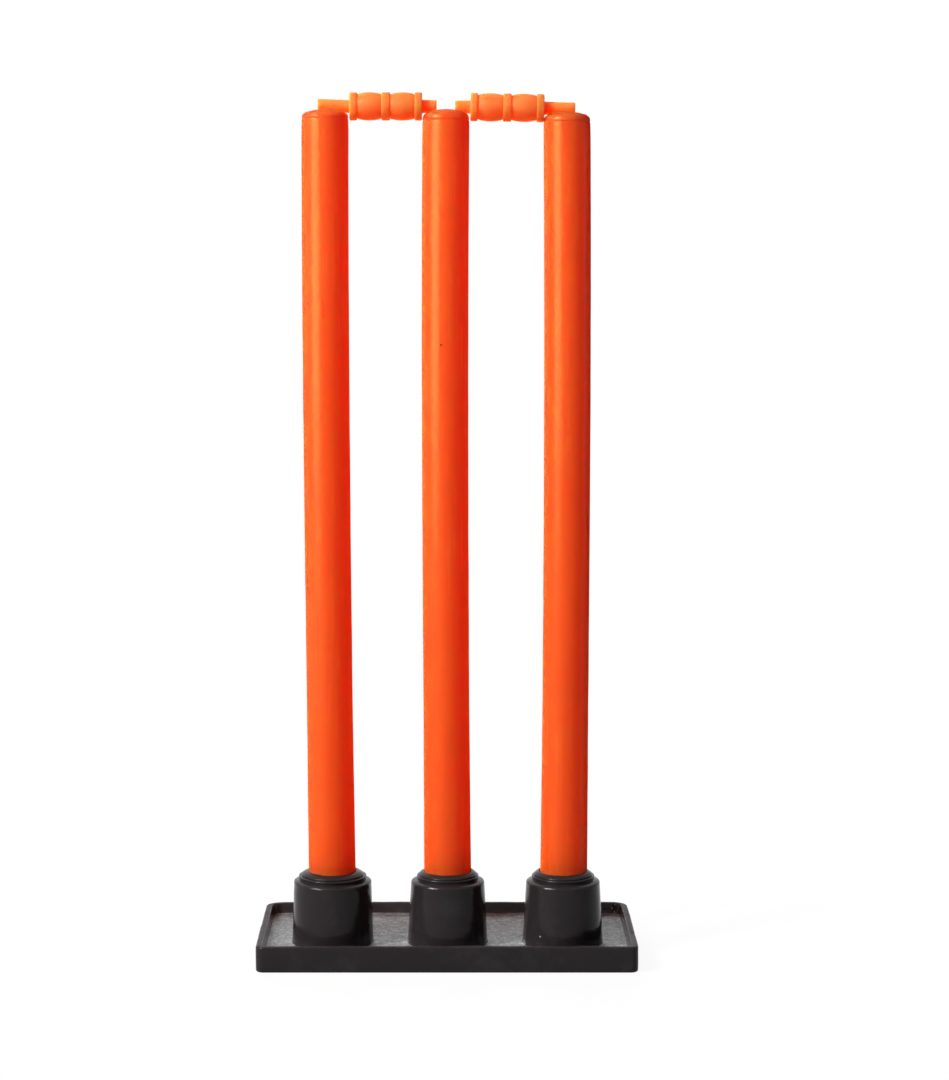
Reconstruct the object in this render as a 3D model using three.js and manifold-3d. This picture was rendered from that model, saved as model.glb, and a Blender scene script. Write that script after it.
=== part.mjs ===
// A set of free-standing cricket stumps: three hollow moulded plastic stumps stand in the sockets of
// one heavy rubber base, and two loose bails lie in grooves across their tops.
// Millimetres. X runs along the row of stumps, Y to the back, Z up.
// The origin is under the middle of the base, on the ground.

import * as THREE from 'three';
import { mergeVertices } from 'three/addons/utils/BufferGeometryUtils.js';
import Module from 'manifold-3d';

const wasm = await Module();
wasm.setup();

// The wicket as a whole
const wicketWidth = 228.6;
const seatGap = 0.3;
const cutOverrun = 2;

// Stump
const stumpLength = 685.8;
const stumpDiameter = 36.8;
const stumpFootDiameter = 38.8;
const stumpFlareHeight = 165;
const stumpWall = 2.6;
const stumpFootChamfer = 1.6;
const stumpFootThickness = 4;
const blowHoleDiameter = 16;
const crownRadius = 49;
const crownCornerRadius = 4.5;
const crownThickness = 6.5;
const ceilingChamfer = 3;
const grooveDepth = 2.2;

// Bail
const longSpigotLength = 25;
const shortSpigotLength = 11.6;
const spigotDiameter = 10.4;
const spigotEdge = 0.9;
const barrelEndPlay = 0.65;
const waistDiameter = 19.5;
const bellySwell = 1.35;
const ringStep = 1.45;
const ringEdge = 1.3;
const endRingWidth = 5.8;
const middleRingWidth = 7;

// Sockets, moulded in one with the base, their heights measured from the tray floor
const socketFloorThickness = 4.4;
const socketTaper = 2.8;
const socketFootFillet = 1.4;
const shoulderRise = 48;
const shoulderRound = 4.6;
const shoulderWidth = 4.3;
const lipWidth = 6.5;
const lipRise = 7;
const lipCreaseDepth = 0.7;

// Rubber base: the slab, the rim round its tray, and the bare tray floor left round the sockets
const slabThickness = 14;
const rimHeight = 7.5;
const rimWidth = 5;
const baseCornerRadius = 13;
const baseEdgeRound = 1.6;
const trayFloorFillet = 1.6;
const floorBeforeSockets = 11.8;
const floorBehindSockets = 60.8;
const floorBesideSockets = 20.4;

// Fineness of the round forms
const roundSegments = 32;
const bailSegments = 20;
const arcSteps = 3;
const bellySteps = 5;
const flareSteps = 5;
const flareSharpness = 1.5;

// Worked out from the sizes above
const stumpSpacing = (wicketWidth - stumpDiameter) / 2;
const stumpRadius = stumpDiameter / 2;
const stumpFootRadius = stumpFootDiameter / 2;
const spigotRadius = spigotDiameter / 2;
const boreRadius = stumpFootRadius + seatGap;
const lipRadius = boreRadius + lipWidth;
const shoulderRadius = lipRadius + shoulderWidth;
const footRadius = shoulderRadius + socketTaper;
const footReach = footRadius + socketFootFillet;
const shoulderZ = slabThickness + shoulderRise;
const creaseZ = shoulderZ + shoulderRound;
const lipTopZ = creaseZ + lipRise;
const baseHeight = slabThickness + rimHeight;
const baseWidth = 2 * (stumpSpacing + footReach + floorBesideSockets + rimWidth);
const frontToSockets = rimWidth + floorBeforeSockets + footReach;
const baseDepth = frontToSockets + footReach + floorBehindSockets + rimWidth;
const socketLineY = frontToSockets - baseDepth / 2;
const stumpFootZ = socketFloorThickness + seatGap;
const stumpTopZ = stumpFootZ + stumpLength;
const bailAxisZ = stumpTopZ - grooveDepth + seatGap + spigotRadius;
const grooveRadius = spigotRadius + seatGap;
const barrelLength = stumpSpacing - stumpDiameter - 2 * barrelEndPlay;

const orangePlastic = { color: 0xee5a20, roughness: 0.38, metalness: 0 };
const blackRubber = { color: 0x2b292b, roughness: 0.62, metalness: 0 };

// Points of a round corner, from one angle to the other, both ends included
function arcPoints(centreAcross, centreUp, radius, fromAngle, toAngle, steps = arcSteps) {
  const points = [];
  for (let i = 0; i <= steps; i++) {
    const angle = fromAngle + (toAngle - fromAngle) * (i / steps);
    const across = centreAcross + radius * Math.cos(angle);
    const up = centreUp + radius * Math.sin(angle);
    points.push(new THREE.Vector2(across, up));
  }
  return points;
}

// A turned form about the Z axis, from its outline as distance from the axis and height
function turned(outline, segments) {
  const geometry = new THREE.LatheGeometry(outline, segments);
  geometry.rotateX(Math.PI / 2);
  return geometry;
}

// A closed geometry as a solid that can be joined and cut
function toSolid(geometry) {
  const bare = geometry.clone();
  bare.deleteAttribute('normal');
  bare.deleteAttribute('uv');
  const merged = mergeVertices(bare);
  const index = merged.index.array;
  const triVerts = [];
  for (let i = 0; i < index.length; i += 3) {
    const [a, b, c] = [index[i], index[i + 1], index[i + 2]];
    if (a !== b && b !== c && c !== a) triVerts.push(a, b, c);
  }
  return new wasm.Manifold(new wasm.Mesh({
    numProp: 3,
    vertProperties: new Float32Array(merged.attributes.position.array),
    triVerts: new Uint32Array(triVerts),
  }));
}

function toGeometry(solid) {
  const mesh = solid.getMesh();
  const geometry = new THREE.BufferGeometry();
  geometry.setAttribute('position', new THREE.BufferAttribute(mesh.vertProperties, 3));
  geometry.setIndex(new THREE.BufferAttribute(mesh.triVerts, 1));
  geometry.computeVertexNormals();
  return geometry;
}

function piece(name, geometry, finish) {
  const mesh = new THREE.Mesh(geometry, new THREE.MeshStandardMaterial(finish));
  mesh.name = name;
  return mesh;
}

// Side of the stump from its foot up to the crown, heights measured from the foot.
// The foot is straight inside the socket, then the shaft slims in a soft flare.
function stumpSide(inset) {
  const footTop = lipTopZ - stumpFootZ;
  const points = [];
  for (let i = 0; i <= flareSteps; i++) {
    const share = i / flareSteps;
    const flare = (stumpFootRadius - stumpRadius) * (1 - share) ** flareSharpness;
    points.push(new THREE.Vector2(stumpRadius + flare - inset, footTop + stumpFlareHeight * share));
  }
  return points;
}

// The hollow stump: a domed crown with rounded corner, a thin wall, and a blow hole in the foot
function stumpGeometry() {
  const cornerAcross = stumpRadius - crownCornerRadius;
  const crownCentre = stumpLength - crownRadius;
  const tilt = Math.asin(cornerAcross / (crownRadius - crownCornerRadius));
  const cornerUp = crownCentre + (crownRadius - crownCornerRadius) * Math.cos(tilt);
  const ceiling = stumpLength - crownThickness;
  const innerRadius = stumpRadius - stumpWall;
  const innerFootRadius = stumpFootRadius - stumpWall;
  const blowHoleRadius = blowHoleDiameter / 2;
  const quarter = Math.PI / 2;

  const inside = [
    new THREE.Vector2(0, ceiling),
    new THREE.Vector2(innerRadius - ceilingChamfer, ceiling),
    new THREE.Vector2(innerRadius, ceiling - ceilingChamfer),
    ...stumpSide(stumpWall).reverse(),
    new THREE.Vector2(innerFootRadius, stumpFootThickness),
    new THREE.Vector2(blowHoleRadius, stumpFootThickness),
  ];
  const outside = [
    new THREE.Vector2(blowHoleRadius, 0),
    new THREE.Vector2(stumpFootRadius - stumpFootChamfer, 0),
    new THREE.Vector2(stumpFootRadius, stumpFootChamfer),
    ...stumpSide(0),
    ...arcPoints(cornerAcross, cornerUp, crownCornerRadius, 0, quarter - tilt),
    ...arcPoints(0, crownCentre, crownRadius, quarter - tilt, quarter).slice(1, -1),
    new THREE.Vector2(0, stumpLength),
  ];
  const body = toSolid(turned([...inside, ...outside], roundSegments));

  const cutter = new THREE.CylinderGeometry(grooveRadius, grooveRadius, 2 * stumpDiameter, bailSegments);
  cutter.rotateZ(Math.PI / 2);
  cutter.translate(0, 0, bailAxisZ - stumpFootZ);
  return toGeometry(body.subtract(toSolid(cutter)));
}

// One raised ring of the barrel, from its left face to its right face
function ringOutline(left, width) {
  const right = left + width;
  const across = waistDiameter / 2 + ringStep - ringEdge;
  return [
    ...arcPoints(across, left + ringEdge, ringEdge, -Math.PI / 2, 0, 2),
    ...arcPoints(across, right - ringEdge, ringEdge, 0, Math.PI / 2, 2),
  ];
}

// One swelling belly between two rings
function bellyOutline(left, width) {
  const points = [];
  for (let i = 0; i <= bellySteps; i++) {
    const share = i / bellySteps;
    const swell = bellySwell * (1 - (2 * share - 1) ** 2);
    points.push(new THREE.Vector2(waistDiameter / 2 + swell, left + width * share));
  }
  return points;
}

// The bail lies along X with its long spigot at the low end and its barrel centred on zero
function bailGeometry() {
  const barrelStart = -barrelLength / 2;
  const barrelEnd = barrelLength / 2;
  const longEnd = barrelStart - longSpigotLength;
  const shortEnd = barrelEnd + shortSpigotLength;
  const bellyWidth = (barrelLength - 2 * endRingWidth - middleRingWidth) / 2;
  const quarter = Math.PI / 2;
  const outline = [
    new THREE.Vector2(0, longEnd),
    ...arcPoints(spigotRadius - spigotEdge, longEnd + spigotEdge, spigotEdge, -quarter, 0, 2),
    new THREE.Vector2(spigotRadius, barrelStart),
    ...ringOutline(barrelStart, endRingWidth),
    ...bellyOutline(barrelStart + endRingWidth, bellyWidth),
    ...ringOutline(-middleRingWidth / 2, middleRingWidth),
    ...bellyOutline(middleRingWidth / 2, bellyWidth),
    ...ringOutline(barrelEnd - endRingWidth, endRingWidth),
    new THREE.Vector2(spigotRadius, barrelEnd),
    ...arcPoints(spigotRadius - spigotEdge, shortEnd - spigotEdge, spigotEdge, 0, quarter, 2),
    new THREE.Vector2(0, shortEnd),
  ];
  const geometry = turned(outline, bailSegments);
  geometry.rotateY(Math.PI / 2);
  return geometry;
}

// Outline of a rectangle with round corners, centred on the origin
function roundedRectangle(width, depth, radius) {
  const shape = new THREE.Shape();
  const across = width / 2 - radius;
  const along = depth / 2 - radius;
  shape.absarc(across, along, radius, 0, Math.PI / 2);
  shape.absarc(-across, along, radius, Math.PI / 2, Math.PI);
  shape.absarc(-across, -along, radius, Math.PI, Math.PI * 1.5);
  shape.absarc(across, -along, radius, Math.PI * 1.5, Math.PI * 2);
  return shape;
}

// A slab from one height to another whose top and bottom edges are rounded
function roundedSlab(width, depth, radius, low, high, edge) {
  const geometry = new THREE.ExtrudeGeometry(roundedRectangle(width, depth, radius), {
    depth: high - low - 2 * edge,
    bevelThickness: edge,
    bevelSize: edge,
    bevelOffset: -edge,
    bevelSegments: 3,
    curveSegments: 6,
  });
  geometry.translate(0, 0, low + edge);
  return geometry;
}

// One tapered socket with its round shoulder and the rolled lip that grips the stump
function socketGeometry() {
  const creaseRadius = lipRadius - lipCreaseDepth;
  const rollRadius = lipWidth / 2;
  const rollZ = lipTopZ - rollRadius;
  const rootZ = slabThickness - cutOverrun;
  const shoulder = arcPoints(0, 0, 1, 0, Math.PI / 2).map((unit) => new THREE.Vector2(
    creaseRadius + (shoulderRadius - creaseRadius) * unit.x,
    shoulderZ + shoulderRound * unit.y,
  ));
  const outline = [
    new THREE.Vector2(0, rootZ),
    new THREE.Vector2(footReach, rootZ),
    new THREE.Vector2(footReach, slabThickness),
    new THREE.Vector2(footRadius, slabThickness + socketFootFillet),
    ...shoulder,
    new THREE.Vector2(lipRadius, creaseZ + lipCreaseDepth),
    ...arcPoints(boreRadius + rollRadius, rollZ, rollRadius, 0, Math.PI, 2 * arcSteps),
    new THREE.Vector2(0, rollZ),
  ];
  return turned(outline, roundSegments);
}

// The base: a slab with a shallow tray sunk in its top, three sockets rising from the tray,
// and a blind bore down each socket
function baseGeometry() {
  const slab = roundedSlab(baseWidth, baseDepth, baseCornerRadius, 0, baseHeight, baseEdgeRound);
  const tray = roundedSlab(
    baseWidth - 2 * rimWidth,
    baseDepth - 2 * rimWidth,
    baseCornerRadius - rimWidth,
    slabThickness,
    baseHeight + 2 * cutOverrun,
    trayFloorFillet,
  );
  const socket = socketGeometry();
  const boreLength = lipTopZ - socketFloorThickness;
  const bore = new THREE.CylinderGeometry(boreRadius, boreRadius, boreLength, roundSegments);
  bore.rotateX(Math.PI / 2);
  bore.translate(0, 0, socketFloorThickness + boreLength / 2);

  let solid = toSolid(slab).subtract(toSolid(tray));
  for (const place of [-1, 0, 1]) {
    const x = place * stumpSpacing;
    const raised = toSolid(socket.clone().translate(x, socketLineY, 0));
    const sunk = toSolid(bore.clone().translate(x, socketLineY, 0));
    solid = solid.add(raised).subtract(sunk);
  }
  return toGeometry(solid);
}

const wicket = new THREE.Group();
wicket.add(piece('rubber_base', baseGeometry(), blackRubber));

const stump = stumpGeometry();
[['left_stump', -1], ['middle_stump', 0], ['right_stump', 1]].forEach(([name, place]) => {
  const mesh = piece(name, stump, orangePlastic);
  mesh.position.set(place * stumpSpacing, socketLineY, stumpFootZ);
  wicket.add(mesh);
});

// Each bail's long spigot lies on an outer stump and its short spigot on the middle one
const bail = bailGeometry();
[['left_bail', -1, 0], ['right_bail', 1, Math.PI]].forEach(([name, place, turn]) => {
  const mesh = piece(name, bail, orangePlastic);
  mesh.position.set(place * stumpSpacing / 2, socketLineY, bailAxisZ);
  mesh.rotation.z = turn;
  wicket.add(mesh);
});

export default wicket;
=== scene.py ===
"""Looks of a set of free-standing cricket stumps, built round the packed frame, in metres."""

import math

import bmesh
import bpy
from bpy.props import FloatProperty, FloatVectorProperty, IntProperty, PointerProperty
from mathutils import Matrix, Vector, noise


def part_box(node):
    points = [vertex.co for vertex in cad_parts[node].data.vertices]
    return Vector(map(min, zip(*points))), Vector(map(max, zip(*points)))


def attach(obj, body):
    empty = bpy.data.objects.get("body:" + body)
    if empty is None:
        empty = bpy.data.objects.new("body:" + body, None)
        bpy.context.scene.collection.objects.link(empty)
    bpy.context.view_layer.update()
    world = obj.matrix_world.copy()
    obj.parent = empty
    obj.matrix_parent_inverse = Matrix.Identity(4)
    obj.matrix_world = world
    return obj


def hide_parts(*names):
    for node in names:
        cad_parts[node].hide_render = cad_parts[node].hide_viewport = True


bl_info = {
    "name": "Cricket stumps",
    "version": (1, 0, 0),
    "blender": (4, 5, 0),
    "location": "3D View > Sidebar > Stumps",
    "description": "Three plastic stumps with two bails, standing in one moulded rubber base",
    "category": "Object",
}

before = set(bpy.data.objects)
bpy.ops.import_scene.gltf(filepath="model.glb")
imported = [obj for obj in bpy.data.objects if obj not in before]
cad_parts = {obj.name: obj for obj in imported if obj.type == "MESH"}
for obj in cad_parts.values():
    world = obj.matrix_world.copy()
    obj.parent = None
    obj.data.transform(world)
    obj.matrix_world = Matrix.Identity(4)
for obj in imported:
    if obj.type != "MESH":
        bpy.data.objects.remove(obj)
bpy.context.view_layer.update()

UP = Vector((0, 0, 1))
FULL_TURN = 2 * math.pi
IMAGE_HEIGHT = 1080  # pixels
SENSOR_WIDTH = 36.0  # mm
LUMP_SEED = 5
MERGE_DISTANCE = 1e-7
SIDES = ("left", "middle", "right")

# Finishes
PLASTIC = {"IOR": 1.5, "Specular IOR Level": 0.22, "Subsurface Weight": 1.0}
RUBBER = {"IOR": 1.5, "Specular IOR Level": 0.11}
SPOT_CORE = 0.5  # share of a spot's radius that it covers fully
SHARP_RISE = 0.001  # width of a step that has no soft part
PIT_PLACES = ((-0.1113, -0.0371, 0.5380), (-0.0048, -0.0428, 0.5055))
FILM_PLACES = (
    (-0.0586, -0.028, 0.013),
    (-0.0345, -0.028, 0.013),
    (0.1300, -0.028, 0.013),
    (0.0625, -0.033, 0.013),
)
NICK_PLACES = ((0.1532, -0.0284, 0.0213), (0.1500, 0.0350, 0.0213))
CRUMB_PLACES = ((0.0761, -0.0509, 0.0236), (0.1428, 0.0695, 0.0170))

# Stumps
HOLE_END = 0.8  # share of its radius that the blow hole keeps at its blind end
HOLE_SIDE_MARGIN = 1.3  # times the blow hole's radius, where the surface isn't made uneven
HOLE_TOP_MARGIN = 1.01  # times its depth, likewise
FLARE_CURVE = 1.5  # above 1, the shaft slims faster low down
TAPER_HEIGHT = 0.016  # from the crown's corner down to where the shaft begins to slim
TAPER_STEPS = 40
LOW_CREASE = 0.0012  # from the crown's corner down to the lower crease
LOW_CREASE_WIDTH = 0.0004
CORNER_STEPS = 18
HIGH_CREASE = 12  # step of the corner at which the upper crease lies
HIGH_CREASE_WIDTH = 1.5  # steps
DOME_STEPS = 34
BOW_LIFT = 1.3  # above 1, a stump bows most above half-way
BOW_FULLNESS = 0.7  # below 1, the bow is rounder than a sine
HOLLOW_WIDTH = 0.028
CROWN_REACH = 0.006  # from a stump's top down to the lowest part the groove can touch
GROOVE_SLOPE = 8

# Bails
SPIGOT_STEP = 0.002
END_STEP = 0.0015
LONG_END = 0.96  # share of its radius that the long spigot keeps at its end
SHORT_END = 0.98
BELLY_STEPS = 24
BELLY_FULLNESS = 0.9  # below 1, a belly is rounder than a sine
CREASE_SHARPNESS = 24
SEAM_REACH = 0.8  # share of a spigot's radius, outside which the bail's surface has its seam
BEND_CURVE = 1.5
BAIL_UNEVENNESS = 0.00005
BAIL_LUMP = 0.006

# Base
WALL_STEP = 0.004
SHOULDER_BULGE = 0.0003
LEDGE_BULGE = 0.00015
LIP_TUCK = 0.0002  # how far the ledge runs in under the lip's lower roll
ROLL_TUCK = 0.0001  # how far the crease lies under the lip's upper roll
LIP_EDGE = 0.0004
BORE_EDGE = 0.001
SPREAD_SHARES = (0.2, 0.5, 0.3)  # of a socket's widening: at its foot, up its wall, at its lip
CREASE_ANGLE = math.radians(30)
LOOSE_HEIGHT = 0.004  # the slab is uneven from here up, and lies flat on the ground
BASE_LUMPS = ((1.0, 0.030), (0.5, 0.010))  # share of the unevenness, and width of its lumps

# Stage
FLOOR_GAP = 0.0002
KEY_LAMP = {"place": (-1.65, -1.08, 1.75), "aim": (0, 0, 0.45), "width": 0.6, "tall": 1.0}
SHEEN_LAMP = {"place": (-1.52, -1.31, 1.22), "aim": (0, 0, 0.55), "width": 1.4, "tall": 2.1}
BACK_LAMP = {"place": (-0.3, 2.08, 0.75), "aim": (0, 0, 0.33), "width": 1.6, "tall": 1.4}


# Properties

def length(name, description, default):
    """A size in metres that a user may change"""
    return FloatProperty(
        name=name, description=description, default=default, min=0.0, unit="LENGTH", precision=5)


def offsets(name, description, default):
    """One signed distance in metres for each of several pieces"""
    return FloatVectorProperty(
        name=name, description=description, default=default, size=len(default), unit="LENGTH",
        precision=5)


def colour(name, description, default):
    """A colour, in linear values"""
    return FloatVectorProperty(
        name=name, description=description, default=default, min=0.0, max=1.0, subtype="COLOR")


class StumpSizes(bpy.types.PropertyGroup):
    """Sizes of the plastic stumps; their length and place come from the frame"""

    shaft_radius: length("Shaft radius", "Radius of the shaft above its flare", 0.01878)
    foot_radius: length("Foot radius", "Radius of the straight foot inside the socket", 0.0194)
    foot_edge: length("Foot edge", "Round edge at the end of the foot", 0.0016)
    flare_start: length(
        "Flare start", "Height above the foot at which the shaft begins to slim", 0.0689)
    flare_height: length("Flare height", "Height over which the shaft slims", 0.165)
    crown_radius: length("Crown radius", "Radius of the shallow dome", 0.049)
    crown_corner: offsets(
        "Crown corner", "Radius of the corner between dome and shaft of each stump",
        (0.0040, 0.0060, 0.0049))
    crown_crease: length("Crown crease", "Depth of the two fine creases round the crown", 0.0004)
    crown_taper: length("Crown taper", "How much the shaft slims just under the crown", 0.0003)
    crown_rise: offsets(
        "Crown rise", "How far each dome, before it is grooved, reaches over its frame's box",
        (0.0013, 0.0013, -0.0007))
    groove_gap: length("Groove gap", "How much wider the groove is than the spigot in it", 0.0003)
    groove_blend: length("Groove edge", "Softness of the edges of the bail groove", 0.0007)
    hole_radius: length("Blow hole radius", "Radius of the blind hole in the foot", 0.008)
    hole_depth: length(
        "Blow hole depth", "Depth of the blind hole, which stands for the way into the hollow",
        0.045)
    seam_height: length("Seam height", "Height of the mould seam down each side", 0.00014)
    seam_gap: length(
        "Seam gap", "How far below the crown's corner the mould seam ends", 0.002)
    waviness: length("Waviness", "Depth of the soft hollows left by moulding", 0.00012)
    row_shift: offsets(
        "Row shift", "How far the left, middle and right stump stand to the right",
        (0.0011, 0.0005, 0.0005))
    lean: offsets(
        "Lean", "How far the tops of the left, middle and right stump lean to the right",
        (-0.0022, -0.0013, -0.0013))
    bow: offsets(
        "Bow", "How far the left, middle and right stump bow to the right half-way up",
        (-0.0012, -0.0013, 0.0014))
    ring_step: length(
        "Ring step", "Distance between the rings of the mesh along the shaft", 0.006)
    segments: IntProperty(name="Segments", description="Sides round the stump", default=128, min=16)


class BailSizes(bpy.types.PropertyGroup):
    """Sizes of the moulded bails; their length and place come from the frame"""

    spigot_radius: length("Spigot radius", "Radius of the round spigots", 0.0052)
    long_spigot: offsets(
        "Long spigot", "Length of each spigot that lies on an outer stump", (0.0252, 0.0247))
    short_spigot: offsets(
        "Short spigot", "Length of each spigot that lies on the middle stump", (0.0116, 0.0123))
    spigot_edge: length("Spigot edge", "Round edge at the end of a spigot", 0.0007)
    root_fillet: length("Root fillet", "Fillet where a spigot meets the barrel", 0.0009)
    waist_radius: length("Waist radius", "Radius of the barrel beside a ring", 0.00975)
    ring_radius: length("Ring radius", "Radius of the raised rings", 0.0111)
    ring_edge: length("Ring edge", "Round edge of a ring", 0.0009)
    end_ring: length("End ring", "Width of the ring at each end of the barrel", 0.0058)
    middle_ring: length("Middle ring", "Width of the ring in the middle", 0.0066)
    crease: length("Crease", "Depth of the crease between a ring and a belly", 0.00035)
    belly_swell: length("Belly swell", "How far a belly swells over the waist", 0.00135)
    seam_height: length("Seam height", "Height of the mould seam along top and bottom", 0.00012)
    stretch: offsets("Stretch", "How much longer than in the frame each bail is", (0, 0.0011))
    shift: offsets(
        "Shift", "How far the left and right bail have slid to the right", (-0.0009, -0.00065))
    inner_drop: offsets(
        "Inner drop", "How much lower than in the frame each bail's inner end lies",
        (0.0002, 0.0004))
    outer_drop: offsets(
        "Outer drop", "How much lower than in the frame each bail's outer end lies", (0, 0.0020))
    bend: offsets("Bend", "How far the end of each long spigot is bent up", (0.0010, 0))
    segments: IntProperty(name="Segments", description="Sides round the bail", default=96, min=16)


class BaseSizes(bpy.types.PropertyGroup):
    """Sizes of the moulded rubber base; its width, depth and place come from the frame"""

    side_slack: length(
        "Side slack", "Room kept inside the frame's box for the uneven surface", 0.0004)
    pinch: length("Pinch", "How much further in the slab's ends lie at the front", 0.0004)
    front_corner: length(
        "Front corner", "Radius of the slab's front corners seen from above", 0.0065)
    back_corner: length("Back corner", "Radius of the slab's back corners seen from above", 0.013)
    height: length("Height", "Height of the rim", 0.0215)
    floor: length("Tray floor", "Height of the tray floor", 0.0130)
    rim: length("Rim width", "Width of the rim round the tray", 0.0053)
    edge: length("Edge", "Round edges of slab and rim", 0.0014)
    tray_edge: length("Tray edge", "Round edge at the foot of the tray's wall", 0.0006)
    draft: length("Draft", "How much the tray narrows to its floor on each side", 0.0012)
    bore_radius: length("Bore radius", "Radius of the sockets' bores", 0.0197)
    bore_floor: length("Bore floor", "Height of the bores' floors", 0.0044)
    foot_radius: length("Socket foot radius", "Radius of a socket above its foot fillet", 0.0331)
    foot_fillet: length("Foot fillet", "Fillet between a socket and the tray floor", 0.0010)
    shoulder_radius: length(
        "Shoulder radius", "Radius of a socket under its round shoulder", 0.0302)
    shoulder_start: length(
        "Shoulder start", "Height at which the shoulder begins to turn in", 0.0632)
    shoulder_round: length("Shoulder round", "Radius of the shoulder's round edge", 0.0012)
    ridge_radius: length("Ridge radius", "Radius at which the shoulder levels out", 0.0285)
    ridge_height: length("Ridge height", "Height at which the shoulder levels out", 0.0651)
    lip_radius: length("Lip radius", "Radius of the lip's lower roll", 0.0254)
    lip_foot: length("Lip foot", "Height of the crease between shoulder and lip", 0.0660)
    lip_crease: length("Lip crease", "Height of the crease between the lip's two rolls", 0.0695)
    lip_dome: length("Lip dome", "How far the top of the lip is domed", 0.0003)
    lip_top: length("Lip top", "Height of the top of the lip", 0.0731)
    roll: length("Lip roll", "Roundness of the lip's two rolls", 0.0008)
    roll_step: length(
        "Roll step", "How far the upper roll stands back from the lower one", 0.0016)
    spread: offsets(
        "Spread", "How much wider the left, middle and right lip have been pressed",
        (0.0026, 0.0002, 0.0004))
    row_shift: offsets(
        "Row shift", "How far the left, middle and right socket stand to the right",
        (0.0015, 0.0007, 0))
    unevenness: length("Unevenness", "Depth of the soft hollows left by moulding", 0.00032)
    cell: length("Cell", "Distance between the cuts that let the slab be uneven", 0.005)
    segments: IntProperty(name="Segments", description="Sides round a socket", default=96, min=16)


class FinishColours(bpy.types.PropertyGroup):
    """Colours of the finishes"""

    stump: colour("Stump", "Body colour of the stumps", (0.86, 0.114, 0.0150))
    stump_pale: colour(
        "Stump, pale", "Where the stumps' plastic is stretched thin or rubbed",
        (0.88, 0.143, 0.021))
    # Painted light: a brighter red just above the sockets, where the stumps' plastic would
    # otherwise come out darker
    stump_painted_foot_light: colour("Stump, low", "Just above the sockets", (1.0, 0.105, 0.013))
    stump_pit: colour("Stump, pits", "In the stumps' pinholes", (0.10, 0.012, 0.006))
    stump_dust: colour("Stump, dust", "Dust specks on the stumps", (0.95, 0.55, 0.35))
    bail: colour("Bail", "Body colour of the bails", (0.88, 0.265, 0.054))
    bail_deep: colour("Bail, deep", "Where the bails' plastic is deeper", (0.85, 0.19, 0.034))
    bail_dust: colour("Bail, dust", "Dust specks on the bails", (0.95, 0.6, 0.4))
    rubber: colour("Rubber", "Body colour of the base", (0.0265, 0.0214, 0.0228))
    # Dust and painted sheen: this pale grey stands partly for real dust, partly for the grazing
    # reflection that lightens what faces up
    rubber_dust_and_sheen: colour("Rubber, dusty", "Dust and bloom on what faces up", (0.285, 0.292, 0.297))
    rubber_speck: colour("Rubber, specks", "Specks on the base", (0.3, 0.3, 0.3))
    rubber_film: colour(
        "Rubber, film", "Torn film and crumbs left by moulding", (0.42, 0.42, 0.42))
    floor: colour(
        "Studio floor", "What the studio floor gives back to the object", (0.26, 0.26, 0.26))


class StageSettings(bpy.types.PropertyGroup):
    """Camera and light"""

    camera_side: FloatProperty(
        name="Camera side", description="Camera's place along the row of stumps", default=-0.002,
        unit="LENGTH")
    camera_distance: length("Camera distance", "From the row of stumps to the camera", 2.0738)
    camera_height: length("Camera height", "Above the floor", 0.5673)
    camera_pitch: FloatProperty(
        name="Camera pitch", description="How far the camera looks down",
        default=math.radians(7.397), subtype="ANGLE")
    camera_lens: FloatProperty(
        name="Lens", description="Focal length on a 36 mm frame, in mm", default=85.57)
    camera_rise: FloatProperty(
        name="Rise", description="Upward shift of the frame", default=60 / IMAGE_HEIGHT)
    camera_cross: FloatProperty(
        name="Cross", description="Sideways shift of the frame", default=0.0277)
    key_power: FloatProperty(
        name="Key power", description="Watts of the key lamp", default=75.0)
    back_power: FloatProperty(
        name="Back power", description="Watts of the lamp behind", default=119.0)
    sheen_power: FloatProperty(
        name="Sheen power", description="Watts of the lamp that only shows in gloss",
        default=112.0)
    ambient: FloatProperty(
        name="Ambient", description="Strength of the white surroundings as light", default=0.05)
    floor_size: length("Floor size", "Side of the studio floor", 12.0)


# Materials

class Reading:
    """A number or colour read from a node; sums of numbers become Math nodes"""

    def __init__(self, recipe, socket):
        self.recipe = recipe
        self.socket = socket

    def math(self, operation, first, second):
        return self.recipe.node("ShaderNodeMath", {"operation": operation}, {0: first, 1: second})

    def __add__(self, other):
        return self.math("ADD", self, other)

    def __sub__(self, other):
        return self.math("SUBTRACT", self, other)

    def __rsub__(self, other):
        return self.math("SUBTRACT", other, self)

    def __mul__(self, other):
        return self.math("MULTIPLY", self, other)

    __radd__ = __add__
    __rmul__ = __mul__

    def larger(self, other):
        return self.math("MAXIMUM", self, other)

    def rise(self, low, high):
        """0 below low, 1 above high and a soft step between; it falls where high is the smaller"""
        limits = {"Value": self, "From Min": low, "From Max": high}
        return self.recipe.node(
            "ShaderNodeMapRange", {"interpolation_type": "SMOOTHSTEP"}, limits)


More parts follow.
